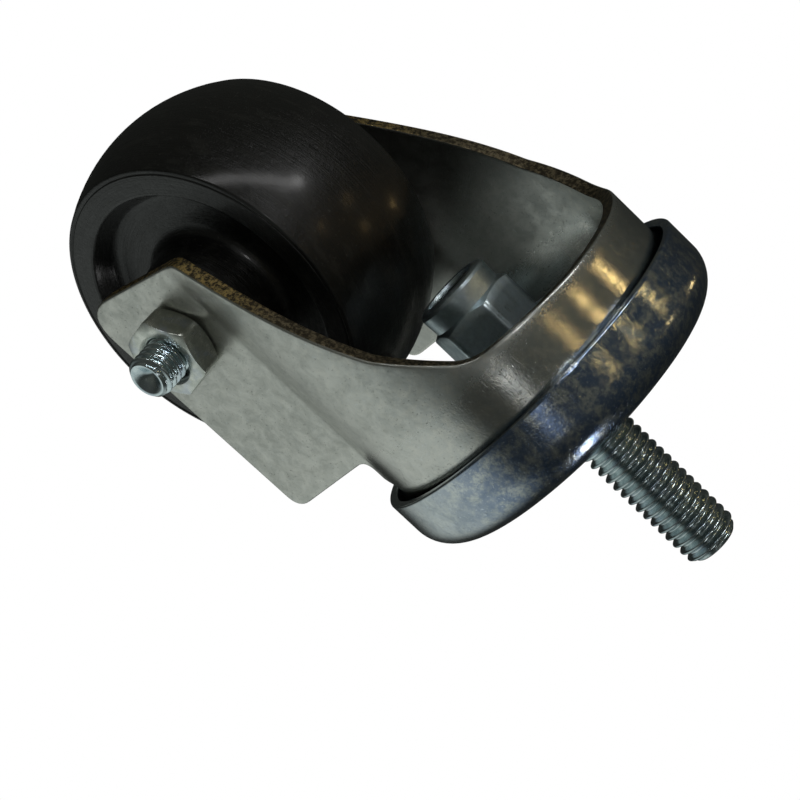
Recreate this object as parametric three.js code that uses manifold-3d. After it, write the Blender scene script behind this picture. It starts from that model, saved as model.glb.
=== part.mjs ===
// Swivel stem caster: threaded king bolt, a double ring of loose balls, a stamped fork and a hard wheel.
// Millimetres, +Z up. The origin is on the swivel axis, where the stem leaves the race cup's flat top.
// The stem points up +Z, the wheel trails towards -X, and the axle lies along Y, its nut on the +Y side.
import * as THREE from 'three';
import { mergeVertices } from 'three/addons/utils/BufferGeometryUtils.js';
import Module from 'manifold-3d';

// ---- driving dimensions ----
const CLEARANCE = 0.3;            // between pieces that touch or turn on each other

const STEM_DIAMETER = 12.7;
const STEM_LENGTH = 38.1;
const STEM_PITCH = 2.117;         // 12 threads to the inch
const STEM_TIP_CHAMFER = 1.4;

const CUP_WALL = 2;
const CUP_DEPTH = 15.3;
const CUP_CORNER = 8;
const CROWN_GAP = 1.6;            // radial gap between the cup's wall and the fork's crown

const SHEET = 3;                  // the fork's steel sheet
const CROWN_BULGE = 8.1;          // how far the round crown stands out past the flat legs
const CROWN_CORNER = 6;
const TRACK_DEPTH = 0.75;         // depth of every pressed ball track
const UPPER_BALL = 6.35;
const UPPER_TRACK_INSET = 9.2;    // from the crown's rim in to the upper ball circle
const LOWER_BALL = 4.76;
const LOWER_TRACK_STEP = 3.5;     // from the crown's hole out to the lower balls
const BALL_SPACING = 1.19;        // pitch of the balls, in ball diameters

const BOLT_SHOULDER = 16;         // diameter that the lower race seats under
const BOLT_FLANGE_STEP = 1.2;     // how far the flange reaches past the crown's hole
const LOWER_RACE_DIAMETER = 40;
const LOWER_RACE_THICKNESS = 3.2;
const CLAMP_WASHER_DIAMETER = 27;
const CLAMP_WASHER_THICKNESS = 2;
const KING_THREAD = 11.1;          // the bolt's lower end, under its shoulder
const KING_NUT_FLATS = 17.46;
const KING_NUT_HEX = 10.3;
const KING_NUT_COLLAR_HEIGHT = 5.2;
const KING_NUT_COLLAR_DIAMETER = 17.2;
const KING_NUT_TURN = 28;         // how the nut happens to be turned, in degrees
const KING_NUT_INSERT_WALL = 1;
const KING_NUT_LIP = 0.8;
const KING_BOLT_RECESS = 0.5;     // the bolt stops this far inside the nut's collar

const WHEEL_DIAMETER = 75;
const WHEEL_WIDTH = 34.6;
const TREAD_DROP = 3.3;           // how much the crowned tread falls away at its shoulders
const SHOULDER_ROUND = 1.4;
const SIDE_RING_INSET = 9.7;      // from the tread's crown in to the edge of the side recess
const WEB_RECESS = 5.5;
const HUB_DIAMETER = 30;
const HUB_PROJECTION = 4.25;      // how far the hub stands out past the wheel's side
const HUB_CHAMFER = 1.5;
const BUSHING_WALL = 2.2;
const SLEEVE_WALL = 1.8;
const WASHER_THICKNESS = 1.6;
const WASHER_DIAMETER = 25;
const HUB_SIDE_PLAY = 0.55;

const TRAIL = 35.5;
const KING_NUT_TO_WHEEL = 2.8;    // free space between the king nut and the tread

const AXLE_DIAMETER = 9.5;
const AXLE_PITCH = 1.588;
const AXLE_NUT_FLATS = 15.9;
const AXLE_NUT_HEIGHT = 6.2;
const AXLE_NUT_TURN = 6;
const AXLE_HEAD_HEIGHT = 6.2;
const AXLE_OVERRUN = 6.3;
const AXLE_TIP_CHAMFER = 0.7;
const AXLE_DIMPLE_DIAMETER = 6.2;
const AXLE_DIMPLE_DEPTH = 2.6;

const APRON_DEPTH = 11.2;         // the crown's front skirt below the cup's rim
const EAR_DROP = 9.4;             // the legs' rear top edge below the cup's rim
const LEG_FORWARD = 17.1;          // the leg's lower front corner, ahead of the axle
const LEG_BEHIND = 15.6;          // the leg's rear edge, behind the axle
const LEG_TOE_FRONT = 11.7;        // the leg's lower edge below the axle, at its front corner
const LEG_TOE_REAR = 18.4;        // and at its rear corner
const LEG_WAIST_FORWARD = 43;     // where the leg's front edge changes slope
const LEG_WAIST_RISE = 25.6;
const BULGE_FULL_RISE = 33;       // above the axle, where the leg's front is as round as the crown
const BULGE_END_DROP = 62;        // below the axle, where it would be flat again
const NOTCH_SETBACK = 1.2;        // the notch behind each crease line

const ROUND_STEPS = 48;           // sides of the large round pieces
const SMALL_STEPS = 24;           // and of the small ones

// ---- sizes that follow ----
const stemRadius = STEM_DIAMETER / 2;
const wheelRadius = WHEEL_DIAMETER / 2;
const axleRadius = AXLE_DIAMETER / 2;
const hubHalf = WHEEL_WIDTH / 2 + HUB_PROJECTION;
const legInside = hubHalf + HUB_SIDE_PLAY + WASHER_THICKNESS + CLEARANCE;
const legOutside = legInside + SHEET;
const crownRadius = legOutside + CROWN_BULGE;
const cupInside = crownRadius + CROWN_GAP;
const cupRadius = cupInside + CUP_WALL;
const shoulderRadius = BOLT_SHOULDER / 2;
const kingThreadRadius = KING_THREAD / 2;
const kingBore = kingThreadRadius + CLEARANCE;
const crownHole = shoulderRadius + 2 * CLEARANCE;

const upperBallZ = -CUP_WALL - CLEARANCE - UPPER_BALL / 2;
const crownTop = upperBallZ - UPPER_BALL / 2 - CLEARANCE + TRACK_DEPTH;
const crownUnder = crownTop - SHEET;
const lowerBallZ = crownUnder - LOWER_BALL / 2 - CLEARANCE + TRACK_DEPTH;
const lowerRaceTop = lowerBallZ - LOWER_BALL / 2 - CLEARANCE + TRACK_DEPTH;
const lowerRaceUnder = lowerRaceTop - LOWER_RACE_THICKNESS;
const clampWasherTop = lowerRaceUnder - CLEARANCE;
const kingNutTop = clampWasherTop - CLAMP_WASHER_THICKNESS - CLEARANCE;
const kingNutHexEnd = kingNutTop - KING_NUT_HEX;
const kingNutEnd = kingNutHexEnd - KING_NUT_COLLAR_HEIGHT;
const upperTrackRadius = crownRadius - UPPER_TRACK_INSET;
const lowerTrackRadius = crownHole + LOWER_BALL / 2 + LOWER_TRACK_STEP;

const axleX = -TRAIL;
const nutToAxleX = TRAIL - KING_NUT_COLLAR_DIAMETER / 2;
const axleZ = kingNutEnd - Math.sqrt((wheelRadius + KING_NUT_TO_WHEEL) ** 2 - nutToAxleX ** 2);

// ---- materials ----
const zincSheet = new THREE.MeshStandardMaterial({ color: 0xb9bdb8, roughness: 0.34, metalness: 1 });
const zincCup = new THREE.MeshStandardMaterial({ color: 0xaab0b4, roughness: 0.26, metalness: 1 });
const zincHardware = new THREE.MeshStandardMaterial({ color: 0xb4c0c4, roughness: 0.24, metalness: 1 });
const hardRubber = new THREE.MeshStandardMaterial({ color: 0x1b1b1c, roughness: 0.46, metalness: 0 });
const bearingSteel = new THREE.MeshStandardMaterial({ color: 0xc8cacc, roughness: 0.15, metalness: 1 });
const bushingBronze = new THREE.MeshStandardMaterial({ color: 0x9a7b4a, roughness: 0.4, metalness: 1 });
const nylon = new THREE.MeshStandardMaterial({ color: 0x35507c, roughness: 0.5, metalness: 0 });

const caster = new THREE.Group();

function addPiece(name, geometry, material) {
  const mesh = new THREE.Mesh(geometry, material);
  mesh.name = name;
  caster.add(mesh);
  return mesh;
}

// ---- solids ----
const wasm = await Module();
wasm.setup();

function toSolid(geometry) {
  const bare = geometry.clone();
  bare.deleteAttribute('normal');
  bare.deleteAttribute('uv');
  const merged = mergeVertices(bare, 1e-4);
  const mesh = new wasm.Mesh({
    numProp: 3,
    vertProperties: new Float32Array(merged.attributes.position.array),
    triVerts: new Uint32Array(merged.index.array),
  });
  return new wasm.Manifold(mesh);
}

function toGeometry(solid) {
  const mesh = solid.getMesh();
  const geometry = new THREE.BufferGeometry();
  geometry.setAttribute('position', new THREE.BufferAttribute(new Float32Array(mesh.vertProperties), 3));
  geometry.setIndex(new THREE.BufferAttribute(new Uint32Array(mesh.triVerts), 1));
  return geometry;
}

// A turned piece about Z. The profile holds [radius, z] pairs, up the outside from the bottom, then closes
// down the bore when it doesn't start and end on the axis.
function turned(profile, steps = ROUND_STEPS) {
  const points = profile.map(([r, z]) => new THREE.Vector2(r, z));
  const onAxis = profile[0][0] === 0 && profile[profile.length - 1][0] === 0;
  if (!onAxis) points.push(points[0].clone());
  const geometry = new THREE.LatheGeometry(points, steps);
  geometry.rotateX(Math.PI / 2);
  return geometry;
}

// The same, about the Y direction through the axle: the profile holds [radius, y] pairs.
function turnedOnAxle(profile, steps = ROUND_STEPS) {
  const geometry = turned(profile, steps);
  geometry.rotateX(-Math.PI / 2);
  geometry.translate(axleX, 0, axleZ);
  return geometry;
}

function arcPoints(centreR, centreZ, radius, fromDegrees, toDegrees, steps) {
  const points = [];
  for (let i = 0; i <= steps; i += 1) {
    const angle = THREE.MathUtils.degToRad(fromDegrees + (toDegrees - fromDegrees) * i / steps);
    points.push([centreR + radius * Math.cos(angle), centreZ + radius * Math.sin(angle)]);
  }
  return points;
}

// A pressed ball track: the ball's own circle plus clearance, cut by the plate's face.
function trackArc(trackRadius, ballDiameter, face) {
  const radius = ballDiameter / 2 + CLEARANCE;
  const halfAngle = THREE.MathUtils.radToDeg(Math.acos(1 - TRACK_DEPTH / radius));
  const down = face === 'top';
  const centreZ = down ? radius - TRACK_DEPTH : TRACK_DEPTH - radius;
  const middle = down ? 270 : 90;
  return (faceZ) => arcPoints(
    trackRadius, faceZ + centreZ, radius, middle - halfAngle, middle + halfAngle, 4);
}

function hexPrism(flats, bottom, top, boreRadius, turnDegrees = 30) {
  const shape = new THREE.Shape();
  const corner = flats / Math.sqrt(3);
  for (let i = 0; i < 6; i += 1) {
    const angle = THREE.MathUtils.degToRad(60 * i + turnDegrees);
    const move = i === 0 ? 'moveTo' : 'lineTo';
    shape[move](corner * Math.cos(angle), corner * Math.sin(angle));
  }
  shape.closePath();
  if (boreRadius > 0) {
    const hole = new THREE.Path();
    hole.absarc(0, 0, boreRadius, 0, 2 * Math.PI, true);
    shape.holes.push(hole);
  }
  const options = { depth: top - bottom, bevelEnabled: false, curveSegments: SMALL_STEPS };
  const geometry = new THREE.ExtrudeGeometry(shape, options);
  geometry.translate(0, 0, bottom);
  return geometry;
}

// The double cone that a lathe leaves on a hex nut's or head's corners.
function cornerChamfer(flats, bottom, top, chamferBottom, chamferTop) {
  const corner = flats / Math.sqrt(3) + 0.2;
  const face = flats / 2 * 0.97;
  const rise = (corner - face) * Math.tan(Math.PI / 6);
  return turned([
    [0, bottom],
    [chamferBottom ? face : corner, bottom],
    [corner, bottom + (chamferBottom ? rise : 0.01)],
    [corner, top - (chamferTop ? rise : 0.01)],
    [chamferTop ? face : corner, top],
    [0, top],
  ], ROUND_STEPS);
}

// Zigzag outline of a screw thread from one height to another, at the crest and root radii.
function threadProfile(crest, pitch, from, to) {
  const root = crest - 0.61 * pitch;
  const turns = Math.floor((to - from) / pitch);
  const points = [];
  for (let i = 0; i < turns; i += 1) {
    points.push([crest, from + i * pitch]);
    points.push([root, from + (i + 0.5) * pitch]);
  }
  return points;
}

// ---- king bolt: threaded stem, flange, shoulder and the lower thread that takes the king nut ----
const flangeRadius = crownHole + BOLT_FLANGE_STEP;
const flangeTop = -CUP_WALL - CLEARANCE;
const flangeUnder = crownTop + TRACK_DEPTH + CLEARANCE;
const shoulderEnd = lowerRaceTop + CLEARANCE;
const boltEnd = kingNutEnd + KING_BOLT_RECESS;
const boltNeck = stemRadius - CLEARANCE;
addPiece('king_bolt', turned([
  [0, boltEnd],
  [kingThreadRadius - 1.2, boltEnd],
  [kingThreadRadius, boltEnd + 1.2],
  [kingThreadRadius, shoulderEnd],
  [shoulderRadius, shoulderEnd],
  [shoulderRadius, flangeUnder],
  [flangeRadius, flangeUnder],
  [flangeRadius, flangeTop],
  [boltNeck, flangeTop],
  [boltNeck, 0],
  ...threadProfile(stemRadius, STEM_PITCH, STEM_PITCH / 2, STEM_LENGTH - STEM_TIP_CHAMFER),
  [stemRadius - STEM_TIP_CHAMFER, STEM_LENGTH],
  [0, STEM_LENGTH],
], SMALL_STEPS), zincHardware);

// ---- race cup: the fixed cover over both ball rings ----
const cupInsideCorner = CUP_CORNER - CUP_WALL;
const cupBore = stemRadius + CLEARANCE;
addPiece('race_cup', turned([
  [cupBore, -CUP_WALL],
  ...arcPoints(cupInside - cupInsideCorner, -CUP_CORNER, cupInsideCorner, 90, 0, 4),
  [cupInside, -CUP_DEPTH],
  [cupRadius, -CUP_DEPTH],
  ...arcPoints(cupRadius - CUP_CORNER, -CUP_CORNER, CUP_CORNER, 0, 90, 5),
  [cupBore, 0],
]), zincCup);

// ---- fork: one stamping, a round crown that runs down into two legs ----
const creaseX = (radius, flat) => -Math.sqrt(radius ** 2 - flat ** 2);
const apronEdge = -CUP_DEPTH - APRON_DEPTH;
const earEdge = -CUP_DEPTH - EAR_DROP;
const rearSkirtEdge = -CUP_DEPTH + CLEARANCE;
const blankBack = axleX - LEG_BEHIND - 10;
const blankTop = rearSkirtEdge + 1;
const blankBottom = axleZ - LEG_TOE_REAR - 6;
const bulgeEnd = axleZ - BULGE_END_DROP;
const bulgeFull = axleZ + BULGE_FULL_RISE;

// The crown's roundness fades down the leg's front, and the leg ends before it has all gone.
function bulgeAt(z) {
  const along = THREE.MathUtils.clamp((z - bulgeEnd) / (bulgeFull - bulgeEnd), 0, 1);
  return along * along * (3 - 2 * along);
}

// One level of the blank: a round front that meets straight sides at the crease lines.
function blankLevel(radius, flat, z) {
  const bulge = bulgeAt(z);
  const crease = creaseX(radius, flat);
  const creaseAngle = Math.atan2(flat, crease);
  const step = 2 * Math.PI / ROUND_STEPS;
  const angles = [];
  for (let angle = 0; angle < creaseAngle - step / 4; angle += step) angles.push(angle);
  angles.push(creaseAngle);
  const side = [];
  for (const angle of angles) {
    const straight = flat * Math.min(1, 2 * Math.sin(angle));
    side.push([radius * Math.cos(angle), radius * Math.sin(angle) * bulge + straight * (1 - bulge)]);
  }
  side.push([blankBack, flat]);
  const mirrored = side.slice(1).reverse().map(([x, y]) => [x, -y]);
  return [...side, ...mirrored].map(([x, y]) => new THREE.Vector3(x, y, z));
}

function blankSolid(radius, flat, top, bottom) {
  const levelCount = 7;
  const levels = [blankLevel(radius, flat, top)];
  for (let i = 0; i <= levelCount; i += 1) {
    levels.push(blankLevel(radius, flat, bulgeFull + (bottom - bulgeFull) * i / levelCount));
  }
  const count = levels[0].length;
  const positions = levels.flat().flatMap((p) => [p.x, p.y, p.z]);
  const index = [];
  for (let k = 0; k + 1 < levels.length; k += 1) {
    for (let i = 0; i < count; i += 1) {
      const j = (i + 1) % count;
      const upper = k * count;
      const lower = upper + count;
      index.push(upper + i, lower + i, lower + j, upper + i, lower + j, upper + j);
    }
  }
  const last = (levels.length - 1) * count;
  for (let i = 1; i + 1 < count; i += 1) {
    index.push(0, i, i + 1);
    index.push(last, last + i + 1, last + i);
  }
  const geometry = new THREE.BufferGeometry();
  geometry.setAttribute('position', new THREE.Float32BufferAttribute(positions, 3));
  geometry.setIndex(index);
  return toSolid(geometry);
}

// A closed outline with a fillet at each corner, from [x, z, fillet radius] entries.
function filletedShape(corners) {
  const shape = new THREE.Shape();
  corners.forEach(([x, z, fillet], i) => {
    const corner = new THREE.Vector2(x, z);
    const before = new THREE.Vector2(...corners.at(i - 1));
    const after = new THREE.Vector2(...corners[(i + 1) % corners.length]);
    const inward = before.sub(corner).normalize();
    const outward = after.sub(corner).normalize();
    const halfAngle = Math.acos(THREE.MathUtils.clamp(inward.dot(outward), -1, 1)) / 2;
    const reach = fillet / Math.tan(halfAngle);
    const start = corner.clone().addScaledVector(inward, reach);
    const end = corner.clone().addScaledVector(outward, reach);
    if (i === 0) shape.moveTo(start.x, start.y);
    else shape.lineTo(start.x, start.y);
    if (fillet > 0) shape.quadraticCurveTo(corner.x, corner.y, end.x, end.y);
  });
  shape.closePath();
  return shape;
}

const notchX = creaseX(crownRadius, legOutside) - NOTCH_SETBACK;
const legOutline = filletedShape([
  [crownRadius + 2, blankTop, 0],
  [crownRadius + 2, apronEdge + 1, 0],
  [crownRadius * 0.57, apronEdge - 1.4, 9.8],
  [axleX + LEG_WAIST_FORWARD, axleZ + LEG_WAIST_RISE, 12],
  [axleX + LEG_FORWARD, axleZ - LEG_TOE_FRONT, 3.5],
  [axleX - LEG_BEHIND - 0.8, axleZ - LEG_TOE_REAR, 7.5],
  [axleX - LEG_BEHIND + 0.4, earEdge, 4],
  [notchX, earEdge, 3],
  [notchX, blankTop, 0],
]);

function alongY(shape, halfWidth, curveSegments) {
  const options = { depth: 2 * halfWidth, bevelEnabled: false, curveSegments };
  const geometry = new THREE.ExtrudeGeometry(shape, options);
  geometry.rotateX(Math.PI / 2);
  geometry.translate(0, halfWidth, 0);
  return geometry;
}

const upperTrack = trackArc(upperTrackRadius, UPPER_BALL, 'top');
const lowerTrack = trackArc(lowerTrackRadius, LOWER_BALL, 'under');
const crown = toSolid(turned([
  [crownHole, crownUnder],
  ...lowerTrack(crownUnder).reverse(),
  ...arcPoints(crownRadius - CROWN_CORNER, crownTop - CROWN_CORNER, CROWN_CORNER - SHEET, 90, 0, 3),
  [crownRadius - SHEET, rearSkirtEdge],
  [crownRadius, rearSkirtEdge],
  ...arcPoints(crownRadius - CROWN_CORNER, crownTop - CROWN_CORNER, CROWN_CORNER, 0, 90, 4),
  ...upperTrack(crownTop).reverse(),
  [crownHole, crownTop],
]));
const axleHole = toSolid(turnedOnAxle([
  [0, -legOutside - 5],
  [axleRadius + CLEARANCE, -legOutside - 5],
  [axleRadius + CLEARANCE, legOutside + 5],
  [0, legOutside + 5],
], SMALL_STEPS));
const blank = blankSolid(crownRadius, legOutside, blankTop, blankBottom)
  .subtract(blankSolid(crownRadius - SHEET, legInside, blankTop + 1, blankBottom - 1));
const legs = blank.intersect(toSolid(alongY(legOutline, crownRadius + 5, 6)));
addPiece('fork', toGeometry(crown.add(legs).subtract(axleHole)), zincSheet);

// ---- ball rings ----
function ballRing(prefix, diameter, circleRadius, z) {
  const count = Math.floor(2 * Math.PI * circleRadius / (diameter * BALL_SPACING));
  for (let i = 0; i < count; i += 1) {
    const angle = 2 * Math.PI * i / count;
    const round = new THREE.IcosahedronGeometry(diameter / 2, 1);
    const ball = addPiece(`${prefix}_${i + 1}`, round, bearingSteel);
    ball.position.set(circleRadius * Math.cos(angle), circleRadius * Math.sin(angle), z);
  }
}

ballRing('upper_ball', UPPER_BALL, upperTrackRadius, upperBallZ);
ballRing('lower_ball', LOWER_BALL, lowerTrackRadius, lowerBallZ);

// ---- lower race, clamp washer and king nut ----
const lowerRaceTrack = trackArc(lowerTrackRadius, LOWER_BALL, 'top');
const raceRadius = LOWER_RACE_DIAMETER / 2;
addPiece('lower_race', turned([
  [kingBore, lowerRaceUnder],
  [raceRadius - 1, lowerRaceUnder],
  [raceRadius, lowerRaceUnder + 1],
  [raceRadius, lowerRaceTop],
  ...lowerRaceTrack(lowerRaceTop).reverse(),
  [kingBore, lowerRaceTop],
]), zincHardware);

addPiece('clamp_washer', turned([
  [kingBore, clampWasherTop - CLAMP_WASHER_THICKNESS],
  [CLAMP_WASHER_DIAMETER / 2, clampWasherTop - CLAMP_WASHER_THICKNESS],
  [CLAMP_WASHER_DIAMETER / 2, clampWasherTop],
  [kingBore, clampWasherTop],
], ROUND_STEPS), zincHardware);

const collarRadius = KING_NUT_COLLAR_DIAMETER / 2;
const insertOuter = kingBore + KING_NUT_INSERT_WALL;
const insertBottom = kingNutEnd + KING_NUT_LIP + CLEARANCE;
const insertTop = kingNutHexEnd;
const kingNutHex = toSolid(hexPrism(KING_NUT_FLATS, kingNutHexEnd - 0.5, kingNutTop, 0, KING_NUT_TURN))
  .intersect(toSolid(cornerChamfer(KING_NUT_FLATS, kingNutHexEnd - 0.5, kingNutTop, true, false)));
const kingNutCollar = toSolid(turned([
  [0, kingNutEnd],
  [collarRadius - 1.6, kingNutEnd],
  [collarRadius - 0.3, kingNutEnd + 1],
  [collarRadius - 0.4, kingNutEnd + 2.5],
  [collarRadius, kingNutHexEnd + 1],
  [0, kingNutHexEnd + 1],
], SMALL_STEPS));
const kingNutBore = toSolid(turned([
  [0, kingNutEnd - 1],
  [kingBore, kingNutEnd - 1],
  [kingBore, kingNutEnd + KING_NUT_LIP],
  [insertOuter + CLEARANCE, kingNutEnd + KING_NUT_LIP],
  [insertOuter + CLEARANCE, insertTop + CLEARANCE],
  [kingBore, insertTop + CLEARANCE],
  [kingBore, kingNutTop + 1],
  [0, kingNutTop + 1],
], SMALL_STEPS));
addPiece('king_nut', toGeometry(kingNutHex.add(kingNutCollar).subtract(kingNutBore)), zincHardware);

addPiece('king_nut_insert', turned([
  [kingBore, insertBottom],
  [insertOuter, insertBottom],
  [insertOuter, insertTop],
  [kingBore, insertTop],
], SMALL_STEPS), nylon);

// ---- wheel, with the bushing pressed in its bore ----
const wheelHalf = WHEEL_WIDTH / 2;
const bushingInner = axleRadius + CLEARANCE + SLEEVE_WALL + CLEARANCE;
const bushingOuter = bushingInner + BUSHING_WALL;
const wheelBore = bushingOuter + CLEARANCE;
const sideRing = wheelRadius - SIDE_RING_INSET;
const webFace = wheelHalf - WEB_RECESS;
const hubRadius = HUB_DIAMETER / 2;
const treadAt = (y) => wheelRadius - TREAD_DROP * (y / (wheelHalf - SHOULDER_ROUND)) ** 2;

// The right half of the wheel's section, from the middle of the tread out to the hub's end.
function wheelSide() {
  const points = [];
  const treadSteps = 4;
  for (let i = 0; i <= treadSteps; i += 1) {
    const y = (wheelHalf - SHOULDER_ROUND) * i / treadSteps;
    points.push([treadAt(y), y]);
  }
  points.push([wheelRadius - TREAD_DROP - SHOULDER_ROUND, wheelHalf]);
  points.push([sideRing, wheelHalf]);
  points.push([sideRing - 2.5, webFace]);
  points.push([hubRadius + 2, webFace]);
  points.push([hubRadius, webFace + 2]);
  points.push([hubRadius - 1, hubHalf - HUB_CHAMFER]);
  points.push([hubRadius - 1 - HUB_CHAMFER, hubHalf]);
  points.push([wheelBore, hubHalf]);
  return points;
}

const rightSide = wheelSide();
const leftSide = rightSide.slice(1).reverse().map(([r, y]) => [r, -y]);
addPiece('wheel', turnedOnAxle([...leftSide, ...rightSide]), hardRubber);

addPiece('wheel_bushing', turnedOnAxle([
  [bushingInner, -hubHalf],
  [bushingOuter, -hubHalf],
  [bushingOuter, hubHalf],
  [bushingInner, hubHalf],
], SMALL_STEPS), bushingBronze);

// ---- axle: sleeve between the legs, thrust washers, bolt and nut ----
const sleeveHalf = legInside - CLEARANCE;
addPiece('axle_sleeve', turnedOnAxle([
  [axleRadius + CLEARANCE, -sleeveHalf],
  [axleRadius + CLEARANCE + SLEEVE_WALL, -sleeveHalf],
  [axleRadius + CLEARANCE + SLEEVE_WALL, sleeveHalf],
  [axleRadius + CLEARANCE, sleeveHalf],
], SMALL_STEPS), zincHardware);

function thrustWasher(name, side) {
  const inner = hubHalf + HUB_SIDE_PLAY / 2;
  const outer = inner + WASHER_THICKNESS;
  const low = Math.min(side * inner, side * outer);
  const high = Math.max(side * inner, side * outer);
  addPiece(name, turnedOnAxle([
    [bushingInner, low],
    [WASHER_DIAMETER / 2, low],
    [WASHER_DIAMETER / 2, high],
    [bushingInner, high],
  ], SMALL_STEPS), zincHardware);
}

thrustWasher('thrust_washer_nut_side', 1);
thrustWasher('thrust_washer_head_side', -1);

// Stands a piece that was made about Z on the axle, its +Z end towards +Y.
function ontoAxle(geometry) {
  geometry.rotateX(-Math.PI / 2);
  geometry.translate(axleX, 0, axleZ);
  return geometry;
}

const nutInner = legOutside + CLEARANCE;
const nutOuter = nutInner + AXLE_NUT_HEIGHT;
const axleEnd = nutOuter + AXLE_OVERRUN;
const headInner = -legOutside - CLEARANCE;
const headOuter = headInner - AXLE_HEAD_HEIGHT;
const axleHead = toSolid(hexPrism(AXLE_NUT_FLATS, headOuter, headInner, 0))
  .intersect(toSolid(cornerChamfer(AXLE_NUT_FLATS, headOuter, headInner, true, false)));
const axleShank = toSolid(turned([
  [0, headInner - 0.5],
  [axleRadius, headInner - 0.5],
  [axleRadius, nutOuter],
  ...threadProfile(axleRadius, AXLE_PITCH, nutOuter, axleEnd - AXLE_TIP_CHAMFER),
  [axleRadius - AXLE_TIP_CHAMFER, axleEnd],
  [AXLE_DIMPLE_DIAMETER / 2, axleEnd],
  [0, axleEnd - AXLE_DIMPLE_DEPTH],
], SMALL_STEPS));
addPiece('axle_bolt', ontoAxle(toGeometry(axleHead.add(axleShank))), zincHardware);

const axleNutBore = axleRadius + CLEARANCE;
const axleNut = toSolid(hexPrism(AXLE_NUT_FLATS, nutInner, nutOuter, axleNutBore, AXLE_NUT_TURN))
  .intersect(toSolid(cornerChamfer(AXLE_NUT_FLATS, nutInner, nutOuter, true, true)));
addPiece('axle_nut', ontoAxle(toGeometry(axleNut)), zincHardware);

export default caster;
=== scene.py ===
"""A swivel stem caster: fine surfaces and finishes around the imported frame.
Lengths are millimetres until a mesh is made."""
import bpy
import bmesh
import math
import numpy as np
from mathutils import Matrix, Vector
from mathutils.geometry import delaunay_2d_cdt
from mathutils.kdtree import KDTree


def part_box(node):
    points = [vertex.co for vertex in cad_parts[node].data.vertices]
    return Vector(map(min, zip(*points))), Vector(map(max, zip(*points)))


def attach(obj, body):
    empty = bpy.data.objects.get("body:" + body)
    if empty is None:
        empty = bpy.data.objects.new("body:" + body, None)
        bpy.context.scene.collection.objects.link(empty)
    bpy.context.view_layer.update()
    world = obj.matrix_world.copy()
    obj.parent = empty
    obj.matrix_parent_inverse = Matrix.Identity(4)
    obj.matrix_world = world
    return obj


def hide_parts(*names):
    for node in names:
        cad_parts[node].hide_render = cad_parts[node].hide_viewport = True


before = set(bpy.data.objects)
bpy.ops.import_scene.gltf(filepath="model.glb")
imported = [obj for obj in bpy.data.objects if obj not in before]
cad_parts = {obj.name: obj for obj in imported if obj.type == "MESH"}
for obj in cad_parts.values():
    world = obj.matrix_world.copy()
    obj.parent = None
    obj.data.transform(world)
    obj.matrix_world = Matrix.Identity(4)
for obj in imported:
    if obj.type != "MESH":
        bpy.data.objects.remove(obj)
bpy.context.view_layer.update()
MM = 0.001
TAU = 2 * math.pi


# ---- sizes read from the frame ----
def low_high(node):
    low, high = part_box(node)
    return np.array(low) / MM, np.array(high) / MM


bolt_low, bolt_high = low_high("king_bolt")
cup_low, cup_high = low_high("race_cup")
fork_low, fork_high = low_high("fork")
nut_low, nut_high = low_high("king_nut")
insert_low, insert_high = low_high("king_nut_insert")
race_low, race_high = low_high("lower_race")
clamp_low, clamp_high = low_high("clamp_washer")
wheel_low, wheel_high = low_high("wheel")
bushing_low, bushing_high = low_high("wheel_bushing")
sleeve_low, sleeve_high = low_high("axle_sleeve")
washer_high = low_high("thrust_washer_nut_side")[1]
axle_low, axle_high = low_high("axle_bolt")
axle_nut_low, axle_nut_high = low_high("axle_nut")
upper_ball_low, upper_ball_high = low_high("upper_ball_1")
lower_ball_low, lower_ball_high = low_high("lower_ball_1")

GAP = 0.3                                   # the frame's clearance between pieces that touch
AXLE_X = (wheel_low[0] + wheel_high[0]) / 2
AXLE_Z = (wheel_low[2] + wheel_high[2]) / 2
LEG_OUTSIDE = axle_nut_low[1] - GAP
LEG_INSIDE = sleeve_high[1] + GAP
SHEET = LEG_OUTSIDE - LEG_INSIDE
CROWN_RADIUS = fork_high[1]
CROWN_TOP = fork_high[2]
STEM_RADIUS = 6.35
WHEEL_RADIUS = (wheel_high[0] - wheel_low[0]) / 2
HUB_HALF = wheel_high[1]
AXLE_RADIUS = 4.75
SLEEVE_WALL = 1.8
AXLE_CENTRE = (AXLE_X * MM, 0.0, AXLE_Z * MM)      # in metres, for the finishes


# ---- meshes ----
MERGE_DISTANCE = 2e-6                       # metres


def new_object(name, data):
    """An object in the scene with this data."""
    made = bpy.data.objects.new(name, data)
    bpy.context.scene.collection.objects.link(made)
    return made


def new_piece(name, points, faces, material, sharp_angle=32):
    """A mesh object at the origin, from millimetre points, with faces turned outwards."""
    mesh = bpy.data.meshes.new(name)
    mesh.from_pydata([tuple(p) for p in np.asarray(points) * MM], [], faces)
    tidy = bmesh.new()
    tidy.from_mesh(mesh)
    bmesh.ops.remove_doubles(tidy, verts=tidy.verts, dist=MERGE_DISTANCE)
    bmesh.ops.recalc_face_normals(tidy, faces=tidy.faces)
    tidy.to_mesh(mesh)
    tidy.free()
    mesh.shade_smooth()
    mesh.set_sharp_from_angle(angle=math.radians(sharp_angle))
    mesh.materials.append(material)
    return new_object(name, mesh)


def place(piece, body, nodes):
    """Says what the finished piece moves with, and hides the frame nodes that it stands for."""
    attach(piece, body)
    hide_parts(*nodes)
    return piece


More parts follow.
